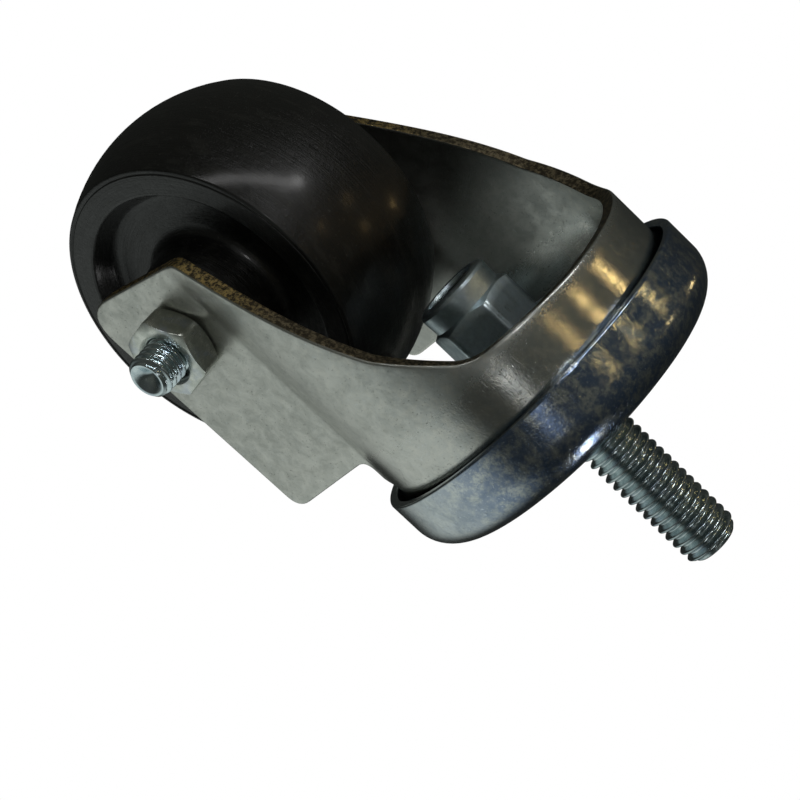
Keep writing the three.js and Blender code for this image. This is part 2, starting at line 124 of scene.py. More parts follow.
def rounded(corners, closed=True, steps=5):
    """A profile with a fillet at each corner, from (a, b, fillet radius) entries."""
    path = []
    count = len(corners)
    for i, (a, b, fillet) in enumerate(corners):
        here = np.array([a, b], float)
        if fillet <= 0 or (not closed and i in (0, count - 1)):
            path.append(here)
            continue
        back = np.array(corners[i - 1][:2], float) - here
        ahead = np.array(corners[(i + 1) % count][:2], float) - here
        room = min(np.linalg.norm(back), np.linalg.norm(ahead)) * 0.49
        back /= np.linalg.norm(back)
        ahead /= np.linalg.norm(ahead)
        half = math.acos(np.clip(back @ ahead, -1, 1)) / 2
        reach = min(fillet / math.tan(half), room)
        start, end = here + back * reach, here + ahead * reach
        for k in range(steps + 1):
            t = k / steps
            path.append(start * (1 - t) ** 2 + here * 2 * t * (1 - t) + end * t * t)
    return np.array(path)


def arc_rounded(corners, degrees_per_step=6):
    """Like rounded(), with true arcs, for a closed profile."""
    path = []
    count = len(corners)
    for i, (a, b, fillet) in enumerate(corners):
        here = np.array([a, b], float)
        back = np.array(corners[i - 1][:2], float) - here
        ahead = np.array(corners[(i + 1) % count][:2], float) - here
        back /= np.linalg.norm(back)
        ahead /= np.linalg.norm(ahead)
        half = math.acos(np.clip(back @ ahead, -1, 1)) / 2
        middle = (back + ahead) / np.linalg.norm(back + ahead)
        centre = here + middle * fillet / math.sin(half)
        start = here + back * fillet / math.tan(half) - centre
        sweep = math.pi - 2 * half
        side = 1 if start[0] * (here - centre)[1] - start[1] * (here - centre)[0] > 0 else -1
        steps = max(3, int(math.degrees(sweep) / degrees_per_step))
        for k in range(steps + 1):
            turn = side * sweep * k / steps
            cos, sin = math.cos(turn), math.sin(turn)
            path.append(centre + np.array([start[0] * cos - start[1] * sin, start[0] * sin + start[1] * cos]))
    return np.array(path)


def filled_in(path, longest, closed=False):
    """The same path with points added so that no step is longer than a given length."""
    result = []
    ends = list(path[1:]) + ([path[0]] if closed else [])
    for start, end in zip(path, ends):
        parts = max(1, int(math.ceil(np.linalg.norm(end - start) / longest)))
        result += [start + (end - start) * k / parts for k in range(parts)]
    if not closed:
        result.append(path[-1])
    return np.array(result)


def lathe_mesh(profile, steps, closed):
    """Rings about Z from (radius, height) points; a point on the axis becomes one vertex."""
    points, rings, faces = [], [], []
    for radius, height in profile:
        if radius < 1e-6:
            rings.append([len(points)] * steps)
            points.append((0, 0, height))
            continue
        rings.append(list(range(len(points), len(points) + steps)))
        for k in range(steps):
            turn = TAU * k / steps
            points.append((radius * math.cos(turn), radius * math.sin(turn), height))
    pairs = list(zip(rings[:-1], rings[1:])) + ([(rings[-1], rings[0])] if closed else [])
    for lower, upper in pairs:
        for k in range(steps):
            n = (k + 1) % steps
            face = list(dict.fromkeys([lower[k], lower[n], upper[n], upper[k]]))
            if len(face) > 2:
                faces.append(face)
    return np.array(points, float), faces


HEX_STEPS = 216
HEX_CORNER_ROUND = 0.25
HEX_CONE = math.tan(math.radians(30))       # the slope of the cone that cuts a hexagon's corners
HEX_CONE_START = 0.965                      # where the cone starts, as a share of half the flats
HEX_FACE_EDGE = 0.955                       # where a nut's flat end stops, as the same share


def hex_radius(flats, turn):
    """Distance from the axis to a hexagon's side in a direction, with its corners rounded off."""
    across = (turn + math.pi / 6) % (math.pi / 3) - math.pi / 6
    plain = flats / 2 / math.cos(across)
    corner = flats / math.sqrt(3) - HEX_CORNER_ROUND
    blunt = HEX_CORNER_ROUND * 0.6
    return (plain + corner) / 2 - math.sqrt(((plain - corner) / 2) ** 2 + blunt * blunt / 16)


def hex_lathe_mesh(rings, flats, turn_degrees):
    """Like a lathe, but a ring marked 'hex' follows a hexagon whose corners a cone has cut.
    Each ring is (kind, radius, height, side). A hexagon's radius is what is added to its own, and
    side is 1 under the cone at the top, -1 over the one below and 0 where there is none."""
    points, faces, start = [], [], []
    cone_radius = flats / 2 * HEX_CONE_START
    for kind, radius, height, side in rings:
        start.append(len(points))
        for k in range(HEX_STEPS):
            turn = TAU * k / HEX_STEPS
            r, z = radius, height
            if kind == "hex":
                away = turn - math.radians(turn_degrees) - math.pi / 6
                r = hex_radius(flats, away) + radius
                z = height - side * max(0.0, r - cone_radius) * HEX_CONE
            points.append((r * math.cos(turn), r * math.sin(turn), z))
    for i in range(len(rings)):
        lower, upper = start[i], start[(i + 1) % len(rings)]
        for k in range(HEX_STEPS):
            n = (k + 1) % HEX_STEPS
            faces.append([lower + k, lower + n, upper + n, upper + k])
    return np.array(points, float), faces


def onto_axle(points):
    """Stands points made about Z on the axle, their +Z end towards +Y."""
    x, y, z = np.asarray(points).T
    return np.stack([x + AXLE_X, z, AXLE_Z - y], axis=1)


def joined(*parts):
    """Several (points, faces) lists as one."""
    points, faces = [], []
    for more_points, more_faces in parts:
        base = len(points)
        points += [tuple(p) for p in more_points]
        faces += [[base + i for i in face] for face in more_faces]
    return np.array(points, float), faces


# ---- node graphs ----
class Link:
    """An output socket that arithmetic works on."""

    def __init__(self, graph, socket):
        self.graph = graph
        self.socket = socket

    def maths(self, operation, *others):
        return self.graph.node("ShaderNodeMath", {"operation": operation}, inputs=(self, *others))

    def __add__(self, other):
        return self.maths("ADD", other)

    def __sub__(self, other):
        return self.maths("SUBTRACT", other)

    def __rsub__(self, other):
        settings = {"operation": "SUBTRACT"}
        return self.graph.node("ShaderNodeMath", settings, inputs=(other, self))

    def __mul__(self, other):
        return self.maths("MULTIPLY", other)

    def __truediv__(self, other):
        return self.maths("DIVIDE", other)

    __radd__ = __add__
    __rmul__ = __mul__

    def smooth(self, low, high):
        """0 below one value and 1 above the other, with a soft step between."""
        settings = {"interpolation_type": "SMOOTHSTEP"}
        return self.graph.node("ShaderNodeMapRange", settings, Value=self, From_Min=low, From_Max=high)


class Graph:
    """Adds nodes to a tree. Settings come first, then the values or links of its sockets."""

    def __init__(self, tree):
        self.tree = tree

    def node(self, kind, settings=None, output=0, inputs=(), **named):
        made = self.tree.nodes.new(kind)
        for key, value in (settings or {}).items():
            setattr(made, key, value)
        usable = [s for s in made.inputs if s.enabled]
        for socket, value in zip(usable, inputs):
            self.feed(socket, value)
        for key, value in named.items():
            wanted = key.replace("_", " ")
            self.feed(next(s for s in usable if s.name == wanted), value)
        outputs = [s for s in made.outputs if s.enabled]
        if isinstance(output, int):
            return Link(self, outputs[output])
        return Link(self, next(s for s in outputs if s.name == output))

    def feed(self, socket, value):
        if isinstance(value, Link):
            self.tree.links.new(value.socket, socket)
        else:
            socket.default_value = value

    def mix(self, factor, first, second):
        """Colours mixed by a factor."""
        return self.node("ShaderNodeMix", {"data_type": "RGBA"}, Factor=factor, A=first, B=second)

    def split(self, vector):
        """A vector's three parts."""
        parts = self.tree.nodes.new("ShaderNodeSeparateXYZ")
        self.tree.links.new(vector.socket, parts.inputs[0])
        return [Link(self, socket) for socket in parts.outputs]


# ---- finishes ----
class Finish(Graph):
    """A material with one Principled shader, its pattern on Object coordinates."""

    def __init__(self, name, **constants):
        self.material = bpy.data.materials.new(name)
        self.material.use_nodes = True
        super().__init__(self.material.node_tree)
        self.shader = next(n for n in self.tree.nodes if n.type == "BSDF_PRINCIPLED")
        for key, value in constants.items():
            self.shader.inputs[key.replace("_", " ")].default_value = value
        self.place = self.node("ShaderNodeTexCoord", output="Object")

    def noise(self, scale, detail=2.0, roughness=0.5, at=None, distortion=0.0):
        return self.node("ShaderNodeTexNoise", Vector=at or self.place, Scale=scale, Detail=detail,
                         Roughness=roughness, Distortion=distortion)

    def set(self, socket, link):
        self.tree.links.new(link.socket, self.shader.inputs[socket])

    def set_roughness(self, pattern, low, high):
        """Roughness between two values, following a pattern."""
        self.set("Roughness", pattern.smooth(0.3, 0.7) * (high - low) + low)

    def bump(self, height, distance, strength=1.0):
        normal = self.node("ShaderNodeBump", Strength=strength, Distance=distance, Height=height)
        self.set("Normal", normal)

    def about(self, centre, axis):
        """Distance from an axis through a centre, height along it and angle round it, in metres."""
        moved = self.node("ShaderNodeVectorMath", {"operation": "SUBTRACT"}, inputs=(self.place, centre))
        x, y, z = self.split(moved)
        first, second, height = (x, y, z) if axis == "Z" else (x, z, y)
        radius = (first * first + second * second).maths("SQRT")
        angle = second.maths("ARCTAN2", first)
        return radius, height, angle

    def height_below(self, start, end):
        """0 above one height and 1 below another, lower one."""
        return 1.0 - self.split(self.place)[2].smooth(end, start)

    def across_x(self, start, end):
        """0 behind one place along X and 1 ahead of another."""
        return self.split(self.place)[0].smooth(start, end)

    def vector(self, x, y, z):
        return self.node("ShaderNodeCombineXYZ", X=x, Y=y, Z=z)


def colour(red, green, blue):
    return (red, green, blue, 1.0)


def zinc(name, pale, deep, film_colour, film_amount, low_rough, high_rough, pitted, flecked, sheet=False):
    """Bright zinc plate: cloudy patches, a fine grain, a thin colour film, pits, flecks and scratches."""
    finish = Finish(name, Metallic=1.0)
    cloud = finish.noise(34.0, 3.0, 0.5)
    mottle = finish.noise(300.0, 5.0, 0.70, distortion=0.5)
    speckle = finish.noise(2100.0, 3.0, 0.6)
    film = finish.noise(430.0, 6.0, 0.78)
    pits = finish.noise(1900.0, 3.0, 0.6).smooth(0.62, 0.72)
    flecks = (speckle.smooth(0.60, 0.72)) * film.smooth(0.40, 0.60)
    base = finish.mix((cloud * 0.4 + mottle * 0.6).smooth(0.36, 0.66), colour(*pale), colour(*deep))
    towards_front = finish.across_x(-0.012, 0.022) * 0.85 + 0.15
    tinted = finish.mix(film.smooth(0.36, 0.58) * towards_front * film_amount, base, colour(*film_colour))
    bright = finish.mix(flecks * flecked, tinted, colour(0.80, 0.88, 0.95))
    shade = finish.mix(pits * pitted, bright, colour(0.10, 0.10, 0.09))
    rough = (mottle * 0.6 + speckle * 0.4).smooth(0.3, 0.7) * (high_rough - low_rough) + low_rough
    stretched = finish.node("ShaderNodeMapping",
                            inputs=(finish.place, (0, 0, 0), (0.5, 0.9, 0.2), (1, 14, 1)))
    scratch = finish.noise(260.0, 3.0, 0.7, at=stretched).smooth(0.62, 0.72)
    height = speckle * 0.45 + mottle * 0.55 - scratch * 0.20 - pits * pitted * 0.8
    if sheet:
        shade, rough, height = sheet_extras(finish, shade, rough, height)
    finish.set("Base Color", shade)
    finish.set("Roughness", rough)
    finish.bump(height, 0.00006, 0.6)
    return finish.material


def sheet_extras(finish, shade, rough, height):
    """The pressed sheet's satin legs, glossier crown and torn brown edge, and painted shade that darkens its
    inside.
    """
    satin = finish.height_below(-0.0215, -0.0300)
    rough = rough * (satin * 0.56 + 0.44)
    # Painted shade: the inside of the sheet is mixed towards dark grey, standing in for the shadow inside the
    # crown and between the legs.
    inner = finish.node("ShaderNodeAttribute", {"attribute_name": "inner_side_painted_shade"}, output="Fac")
    shade = finish.mix(inner * 0.30, shade, colour(0.14, 0.155, 0.15))
    cut = finish.node("ShaderNodeAttribute", {"attribute_name": "sheared"}, output="Fac")
    torn = finish.noise(1100.0, 4.0, 0.75)
    low_leg = finish.height_below(-0.0560, -0.0680)
    brown = finish.mix(torn.smooth(0.42, 0.64), colour(0.085, 0.072, 0.050), colour(0.34, 0.29, 0.20))
    golden = finish.mix(torn.smooth(0.44, 0.60) * (low_leg * 0.75 + 0.05), brown, colour(0.74, 0.54, 0.20))
    shade = finish.mix(cut, shade, golden)
    rough = rough + cut * 0.06
    height = height + cut * torn * 5.0
    return shade, rough, height


def turned_zinc(name, centre, axis, pale, deep, low_rough, high_rough, line_depth=0.6):
    """Zinc over a turned or tapped face: fine rings about an axis and vertical tool lines on the flats."""
    finish = Finish(name, Metallic=1.0)
    radius, height, angle = finish.about(centre, axis)
    rings = finish.noise(1.0, 3.0, 0.6, at=finish.vector(radius * 5200.0, height * 900.0, angle * 3.0))
    lines = finish.noise(1.0, 3.0, 0.65, at=finish.vector(angle * 130.0, height * 60.0, radius * 200.0))
    mottle = finish.noise(420.0, 4.0, 0.6)
    film = finish.noise(160.0, 4.0, 0.6, distortion=0.6)
    base = finish.mix(mottle.smooth(0.35, 0.65), colour(*pale), colour(*deep))
    shade = finish.mix(film.smooth(0.5, 0.7) * 0.4, base, colour(0.55, 0.62, 0.80))
    finish.set("Base Color", shade)
    finish.set_roughness(lines * 0.5 + mottle * 0.5, low_rough, high_rough)
    finish.bump(rings * 0.25 + lines * line_depth, 0.00003, 0.5)
    return finish.material


def rubber_finish():
    """Black hard rubber off the lathe: fine rings about the axle, a grey bloom and small scuffs."""
    finish = Finish("hard_rubber_black", Metallic=0.0)
    finish.shader.inputs["Specular IOR Level"].default_value = 0.40
    finish.shader.inputs["Coat Weight"].default_value = 0.30
    finish.shader.inputs["Coat Roughness"].default_value = 0.20
    radius, height, angle = finish.about(AXLE_CENTRE, "Y")
    rings = finish.noise(1.0, 4.0, 0.65, at=finish.vector(radius * 2600.0, height * 2600.0, angle * 1.6))
    streak = finish.noise(1.0, 5.0, 0.6, at=finish.vector(radius * 420.0, height * 420.0, angle * 5.0))
    bloom = finish.noise(60.0, 5.0, 0.6, distortion=0.5)
    grain = finish.noise(1400.0, 3.0, 0.6)
    base = finish.mix(bloom.smooth(0.4, 0.7), colour(0.0022, 0.0023, 0.0021), colour(0.0055, 0.0058, 0.0052))
    worn = finish.mix(streak.smooth(0.50, 0.66) * 0.6, base, colour(0.020, 0.0205, 0.018))
    flecked = finish.mix(grain.smooth(0.60, 0.72) * 0.5, worn, colour(0.05, 0.05, 0.045))
    finish.set("Base Color", flecked)
    finish.set_roughness(streak * 0.6 + grain * 0.4, 0.28, 0.50)
    finish.bump(rings * 0.8 + grain * 0.6 + streak * 0.8, 0.00022, 0.8)
    return finish.material


def plain_finish(name, pale, deep, low_rough, high_rough, scale, metallic=1.0):
    """A quiet finish for the pieces inside: two tones and an uneven gloss."""
    finish = Finish(name, Metallic=metallic)
    patch = finish.noise(scale, 4.0, 0.6)
    fine = finish.noise(scale * 6, 3.0, 0.6)
    finish.set("Base Color", finish.mix(patch.smooth(0.35, 0.65), colour(*pale), colour(*deep)))
    finish.set_roughness(patch * 0.5 + fine * 0.5, low_rough, high_rough)
    finish.bump(fine, 0.00002, 0.5)
    return finish.material


zinc_sheet = zinc("zinc_on_sheet", (0.66, 0.66, 0.61), (0.49, 0.50, 0.46), (0.40, 0.45, 0.47), 0.45,
                  0.32, 0.48, pitted=0.45, flecked=0.35, sheet=True)
zinc_cup = zinc("zinc_on_cup", (0.66, 0.70, 0.69), (0.40, 0.45, 0.47), (0.12, 0.20, 0.38), 0.85,
                0.12, 0.25, pitted=0.35, flecked=0.8)
zinc_stem = turned_zinc("zinc_on_stem", (0, 0, 0), "Z",
                        (0.62, 0.70, 0.71), (0.40, 0.48, 0.50), 0.14, 0.26, 0.12)
zinc_king_nut = turned_zinc("zinc_on_king_nut", (0, 0, 0), "Z",
                            (0.70, 0.80, 0.83), (0.50, 0.60, 0.64), 0.26, 0.46)
zinc_axle = turned_zinc("zinc_on_axle", AXLE_CENTRE, "Y",
                        (0.78, 0.88, 0.90), (0.56, 0.66, 0.70), 0.10, 0.22, 0.12)
zinc_axle_nut = turned_zinc("zinc_on_axle_nut", AXLE_CENTRE, "Y",
                            (0.74, 0.76, 0.70), (0.54, 0.57, 0.52), 0.22, 0.40)
hard_rubber = rubber_finish()
ball_steel = plain_finish("greased_ball_steel", (0.72, 0.73, 0.74), (0.60, 0.60, 0.58), 0.08, 0.22, 500.0)
bronze = plain_finish("sintered_bronze", (0.46, 0.33, 0.17), (0.34, 0.23, 0.11), 0.38, 0.60, 900.0)
blue_nylon = plain_finish("blue_nylon", (0.05, 0.11, 0.27), (0.04, 0.09, 0.22), 0.40, 0.55, 300.0,
                          metallic=0.0)


# ---- geometry nodes: threads and balls ----
def new_tree(name, sizes):
    """A geometry tree with one number input for each named size."""
    tree = bpy.data.node_groups.new(name, "GeometryNodeTree")
    tree.interface.new_socket("Geometry", in_out="OUTPUT", socket_type="NodeSocketGeometry")
    for size, value in sizes.items():
        kind = "NodeSocketInt" if isinstance(value, int) else "NodeSocketFloat"
        tree.interface.new_socket(size, in_out="INPUT", socket_type=kind).default_value = value
    graph = Graph(tree)
    group_in = tree.nodes.new("NodeGroupInput")
    inputs = {s.name: Link(graph, s) for s in group_in.outputs if s.name}
    return graph, inputs


def finish_tree(graph, geometry, material):
    real = graph.node("GeometryNodeRealizeInstances", inputs=(geometry,))
    coated = graph.node("GeometryNodeSetMaterial", Geometry=real, Material=material)
    group_out = graph.tree.nodes.new("NodeGroupOutput")
    graph.tree.links.new(coated.socket, group_out.inputs[0])


def run_tree(graph, values):
    """The tree's result, in millimetres, as (points, faces)."""
    carrier = new_object("carrier", bpy.data.meshes.new("carrier"))
    modifier = carrier.modifiers.new("made", "NODES")
    modifier.node_group = graph.tree
    for item in graph.tree.interface.items_tree:
        if item.in_out == "INPUT" and item.name in values:
            modifier[item.identifier] = values[item.name]
    evaluated = carrier.evaluated_get(bpy.context.evaluated_depsgraph_get())
    mesh = bpy.data.meshes.new_from_object(evaluated)
    points = np.array([v.co[:] for v in mesh.vertices])
    faces = [list(p.vertices) for p in mesh.polygons]
    bpy.data.objects.remove(carrier)
    bpy.data.meshes.remove(mesh)
    return points, faces


THREAD_STEPS = 96
thread_sizes = {"Radius": 6.35, "Pitch": 2.117, "Depth": 1.3, "Length": 38.1, "Chamfer": 1.4, "Neck": 6.0,
                "Around": THREAD_STEPS, "Along": 200}
thread, size = new_tree("screw_thread", thread_sizes)
tube = thread.node("GeometryNodeMeshCylinder", {"fill_type": "NONE"}, Vertices=size["Around"],
                   Side_Segments=size["Along"], Radius=size["Radius"], Depth=size["Length"])
raised = thread.node("GeometryNodeTransform", Geometry=tube,
                     Translation=thread.node("ShaderNodeCombineXYZ", Z=size["Length"] * 0.5))
spot_x, spot_y, spot_z = thread.split(thread.node("GeometryNodeInputPosition"))
turn = spot_y.maths("ARCTAN2", spot_x)
phase = (spot_z / size["Pitch"] - turn / TAU).maths("FRACT")
flank = ((phase - 0.5).maths("ABSOLUTE") * 2.0).smooth(0.10, 0.92)
cut_radius = size["Radius"] - size["Depth"] * (1.0 - flank)
started = spot_z.smooth(0.2, 2.0)
run_out = size["Neck"] + (cut_radius - size["Neck"]) * started
tip = size["Radius"] - size["Chamfer"] + (size["Length"] - spot_z)
final_radius = run_out.maths("MINIMUM", tip)
moved = thread.node("ShaderNodeCombineXYZ", X=turn.maths("COSINE") * final_radius,
                    Y=turn.maths("SINE") * final_radius, Z=spot_z)
helix = thread.node("GeometryNodeSetPosition", Geometry=raised, Position=moved)
finish_tree(thread, helix, zinc_stem)

ball_sizes = {"Count": 16, "Circle": 20.0, "Ball": 3.0, "Height": 0.0}
ring, size = new_tree("ball_ring", ball_sizes)
circle = ring.node("GeometryNodeMeshCircle", Vertices=size["Count"], Radius=size["Circle"])
ball = ring.node("GeometryNodeMeshIcoSphere", Radius=size["Ball"], Subdivisions=4)
placed = ring.node("GeometryNodeInstanceOnPoints", Points=circle, Instance=ball)
lifted = ring.node("GeometryNodeTransform", Geometry=placed,
                   Translation=ring.node("ShaderNodeCombineXYZ", Z=size["Height"]))
finish_tree(ring, lifted, ball_steel)


def ball_ring(name, prefix, low, high, body):
    """One ring of loose balls, as many and where the frame has them."""
    nodes = [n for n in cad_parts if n.startswith(prefix)]
    radius = (high[2] - low[2]) / 2
    values = {"Count": len(nodes), "Circle": float((low[0] + high[0]) / 2), "Ball": float(radius),
              "Height": float((low[2] + high[2]) / 2)}
    points, faces = run_tree(ring, values)
    return place(new_piece(name, points, faces, ball_steel, 180), body, nodes)


# ---- king bolt ----
STEM_PITCH = 2.117
STEM_THREAD_DEPTH = 1.28
STEM_THREAD_ROWS = 290
STEM_NECK_CUT = 0.45
STEM_CHAMFER = 1.5
KING_THREAD_RADIUS = 5.55
SHOULDER_RADIUS = 8.0
FLANGE_RADIUS = bolt_high[0]
FLANGE_OVER_CROWN = 1.05


def king_bolt():
    neck = STEM_RADIUS - STEM_NECK_CUT
    stem = run_tree(thread, {"Radius": STEM_RADIUS, "Pitch": STEM_PITCH, "Depth": STEM_THREAD_DEPTH,
                             "Length": float(bolt_high[2]), "Chamfer": STEM_CHAMFER, "Neck": neck,
                             "Along": STEM_THREAD_ROWS})
    flange_top = cup_high[2] - CUP_WALL - GAP
    flange_bottom = CROWN_TOP + FLANGE_OVER_CROWN
    tip_radius = STEM_RADIUS - STEM_CHAMFER
    tip_end = lathe_mesh([(0, bolt_high[2]), (tip_radius * 0.6, bolt_high[2]), (tip_radius, bolt_high[2])],
                         THREAD_STEPS, False)
    lower = [(neck, 0, 0), (neck, flange_top, 0.3), (FLANGE_RADIUS, flange_top, 0.4),
             (FLANGE_RADIUS, flange_bottom, 0.4), (SHOULDER_RADIUS, flange_bottom, 0),
             (SHOULDER_RADIUS, race_high[2] + GAP, 0.3), (KING_THREAD_RADIUS, race_high[2] + GAP, 0),
             (KING_THREAD_RADIUS, bolt_low[2], 1.0), (0, bolt_low[2], 0)]
    under = lathe_mesh(rounded(lower, closed=False), THREAD_STEPS, False)
    points, faces = joined(stem, tip_end, under)
    piece = new_piece("threaded_king_bolt", points, faces, zinc_stem, 40)
    return place(piece, "stem_side", ["king_bolt"])


# ---- race cup ----
CUP_WALL = 2.0
CUP_CORNER = 8.0


def race_cup():
    outer = cup_high[0]
    bottom = cup_low[2]
    bore = STEM_RADIUS + GAP
    corners = [(bore, 0, 0.4), (outer, 0, CUP_CORNER), (outer, bottom, 0.55),
               (outer - CUP_WALL, bottom, 0.7), (outer - CUP_WALL, -CUP_WALL, CUP_CORNER - CUP_WALL),
               (bore, -CUP_WALL, 0.3)]
    profile = filled_in(arc_rounded(corners), 1.6, closed=True)
    points, faces = lathe_mesh(profile, 288, True)
    piece = new_piece("formed_race_cup", points, faces, zinc_cup, 50)
    return place(piece, "stem_side", ["race_cup"])


# ---- fork: a sheet laid out flat, then bent round the crown and down the legs ----
CROWN_CORNER = 6.0
CROWN_HOLE = 8.6
TRACK_RADIUS = (upper_ball_low[0] + upper_ball_high[0]) / 2
TRACK_DEPTH = 0.75
CREASE_SOFTNESS = 1.1
APRON_EDGE = cup_low[2] - 11.2
EAR_EDGE = cup_low[2] - 9.4
REAR_SKIRT_EDGE = cup_low[2] + GAP
LEG_FORWARD = 17.1
LEG_BEHIND = 15.6
LEG_TOE_FRONT = 11.7
LEG_TOE_REAR = 18.4
LEG_WAIST_FORWARD = 43.0
LEG_WAIST_RISE = 25.6
BULGE_FULL_RISE = 33.0
BULGE_END_DROP = 62.0
NOTCH_SETBACK = 1.2
EDGE_INSET = 0.6
SHEET_STEP = 1.0
TOP_HOLE_STEPS = 128
AXLE_HOLE_STEPS = 72

crease_x = -math.sqrt(CROWN_RADIUS ** 2 - LEG_OUTSIDE ** 2)
crease_u = CROWN_RADIUS * math.acos(crease_x / CROWN_RADIUS)
wall_top = CROWN_TOP - CROWN_CORNER
corner_end = wall_top + CROWN_CORNER * math.pi / 2
hole_w = corner_end + CROWN_RADIUS - CROWN_CORNER - CROWN_HOLE
seam_u = math.pi * CROWN_RADIUS


def soft_step(value, low, high):
    t = np.clip((value - low) / (high - low), 0, 1)
    return t * t * (3 - 2 * t)


def sheet_outside(u, w):
    """Where a point of the flat layout lies on the bent sheet's outside. u runs round the crown from its
    front and on along the flat leg. w is the height; above the wall it runs round the corner and over
    the top."""
    sign = np.where(u < 0, -1.0, 1.0)
    u = np.abs(u)
    turn = u / CROWN_RADIUS
    across = np.clip((w - wall_top) / CROWN_CORNER, 0, math.pi / 2)
    inward = np.maximum(w - corner_end, 0)
    radius = CROWN_RADIUS - CROWN_CORNER + CROWN_CORNER * np.cos(across) - inward
    track = TRACK_DEPTH * np.exp(-((radius - TRACK_RADIUS) / 2.0) ** 2)
    height = np.where(w > wall_top, wall_top + CROWN_CORNER * np.sin(across) - track * (across > 1.5), w)
    round_x, round_y = radius * np.cos(turn), radius * np.sin(turn)
    leg_x = np.where(u < crease_u, CROWN_RADIUS * np.cos(turn), crease_x - (u - crease_u))
    circle_y = np.sqrt(np.maximum(CROWN_RADIUS ** 2 - leg_x ** 2, 0))
    behind = soft_step(-leg_x, 6, 14)
    half_apart = (circle_y - LEG_OUTSIDE) / 2
    fold = (LEG_OUTSIDE + circle_y) / 2 + np.sqrt(half_apart ** 2 + CREASE_SOFTNESS ** 2 / 4)
    full_y = circle_y + (fold - circle_y) * behind
    straight = LEG_OUTSIDE * np.minimum(1, 2 * np.sin(np.clip(turn, 0, math.pi / 2)))
    bulge = soft_step(w, AXLE_Z - BULGE_END_DROP, AXLE_Z + BULGE_FULL_RISE)
    leg_y = full_y * bulge + straight * (1 - bulge)
    crown_part = soft_step(w, REAR_SKIRT_EDGE - 5, REAR_SKIRT_EDGE)
    x = leg_x + (round_x - leg_x) * crown_part
    y = leg_y + (round_y - leg_y) * crown_part
    return np.stack([x, y * sign, height], axis=-1)


def sheet_both_sides(u, w):
    """Points on the outside of the sheet and the directions that point out of it."""
    small = 0.05
    along = sheet_outside(u + small, w) - sheet_outside(u - small, w)
    up = sheet_outside(u, w + small) - sheet_outside(u, w - small)
    normal = np.cross(along, up)
    normal /= np.linalg.norm(normal, axis=-1, keepdims=True)
    return sheet_outside(u, w), normal


def layout_u(x):
    """How far along the layout a place on the bent sheet lies."""
    if x > crease_x:
        return CROWN_RADIUS * math.acos(np.clip(x / CROWN_RADIUS, -1, 1))
    return crease_u + crease_x - x


def lower_edge():
    """The sheet's lower edge in the layout, from the crown's front round one leg to the crown's back."""
    notch_x = crease_x - NOTCH_SETBACK
    side = rounded([
        (CROWN_RADIUS, APRON_EDGE + 0.7, 0),
        (CROWN_RADIUS * 0.57, APRON_EDGE - 1.4, 9.8),
        (AXLE_X + LEG_WAIST_FORWARD, AXLE_Z + LEG_WAIST_RISE, 12),
        (AXLE_X + LEG_FORWARD, AXLE_Z - LEG_TOE_FRONT, 3.5),
        (AXLE_X - LEG_BEHIND - 0.8, AXLE_Z - LEG_TOE_REAR, 7.5),
        (AXLE_X - LEG_BEHIND + 0.4, EAR_EDGE, 4),
        (notch_x, EAR_EDGE, 3),
        (notch_x, REAR_SKIRT_EDGE, 0),
    ], closed=False, steps=8)
    side = filled_in(side, 0.7)
    path = np.array([(layout_u(x), w) for x, w in side])
    skirt = filled_in(np.array([path[-1], (seam_u, REAR_SKIRT_EDGE)]), 0.8)
    return np.vstack([path[:-1], skirt])


def inward_normals(path, closed):
    """Unit directions to the left of a path."""
    if closed:
        ahead = np.roll(path, -1, axis=0) - np.roll(path, 1, axis=0)
    else:
        ahead = np.gradient(path, axis=0)
    ahead /= np.linalg.norm(ahead, axis=1, keepdims=True)
    return np.stack([-ahead[:, 1], ahead[:, 0]], axis=1)


def inside_outline(points, outline):
    """Which points lie inside a closed outline, and how far every point is from it."""
    start, end = outline, np.roll(outline, -1, axis=0)
    inside = np.zeros(len(points), bool)
    nearest = np.full(len(points), 1e9)
    for (ax, ay), (bx, by) in zip(start, end):
        crosses = (ay > points[:, 1]) != (by > points[:, 1])
        if ay != by:
            inside ^= crosses & (points[:, 0] < (bx - ax) * (points[:, 1] - ay) / (by - ay) + ax)
        run = np.array([bx - ax, by - ay])
        length = run @ run
        t = np.clip(((points - (ax, ay)) @ run) / max(length, 1e-12), 0, 1)
        nearest = np.minimum(nearest, np.linalg.norm(points - (ax, ay) - t[:, None] * run, axis=1))
    return inside, nearest


# across the cut edge: how deep in the sheet, and how far the layout's edge is drawn in there
CUT_ROWS = [(0.01, 0.30), (0.035, 0.62), (0.08, 0.85), (0.14, 0.97), (0.20, 1.0), (0.40, 1.0),
            (0.60, 1.0), (0.80, 1.0), (0.92, 1.0), (0.965, 0.93), (0.99, 0.80), (1.0, 0.62)]


def sheared_edges():
    """Every cut edge of the layout, as (path, directions into the sheet, whether it closes)."""
    half_edge = lower_edge()
    edge = np.vstack([(half_edge * (-1, 1))[::-1], half_edge[1:]])
    edge_in = inward_normals(edge, False)
    edge_in[0], edge_in[-1] = (0, 1), (0, 1)
    top_u = np.linspace(seam_u, -seam_u, TOP_HOLE_STEPS)
    hole = np.stack([top_u, np.full(TOP_HOLE_STEPS, hole_w)], axis=1)
    hole_in = np.tile((0.0, -1.0), (TOP_HOLE_STEPS, 1))
    edges = [(edge, edge_in, False), (hole, hole_in, False)]
    turn = np.linspace(0, -TAU, AXLE_HOLE_STEPS, endpoint=False)
    radius = AXLE_RADIUS + GAP
    along = layout_u(AXLE_X) + radius * np.cos(turn)
    up = AXLE_Z + radius * np.sin(turn)
    for path in (np.stack([along, up], axis=1), np.stack([-along, up], axis=1)[::-1]):
        edges.append((path, inward_normals(path, True), True))
    return edges


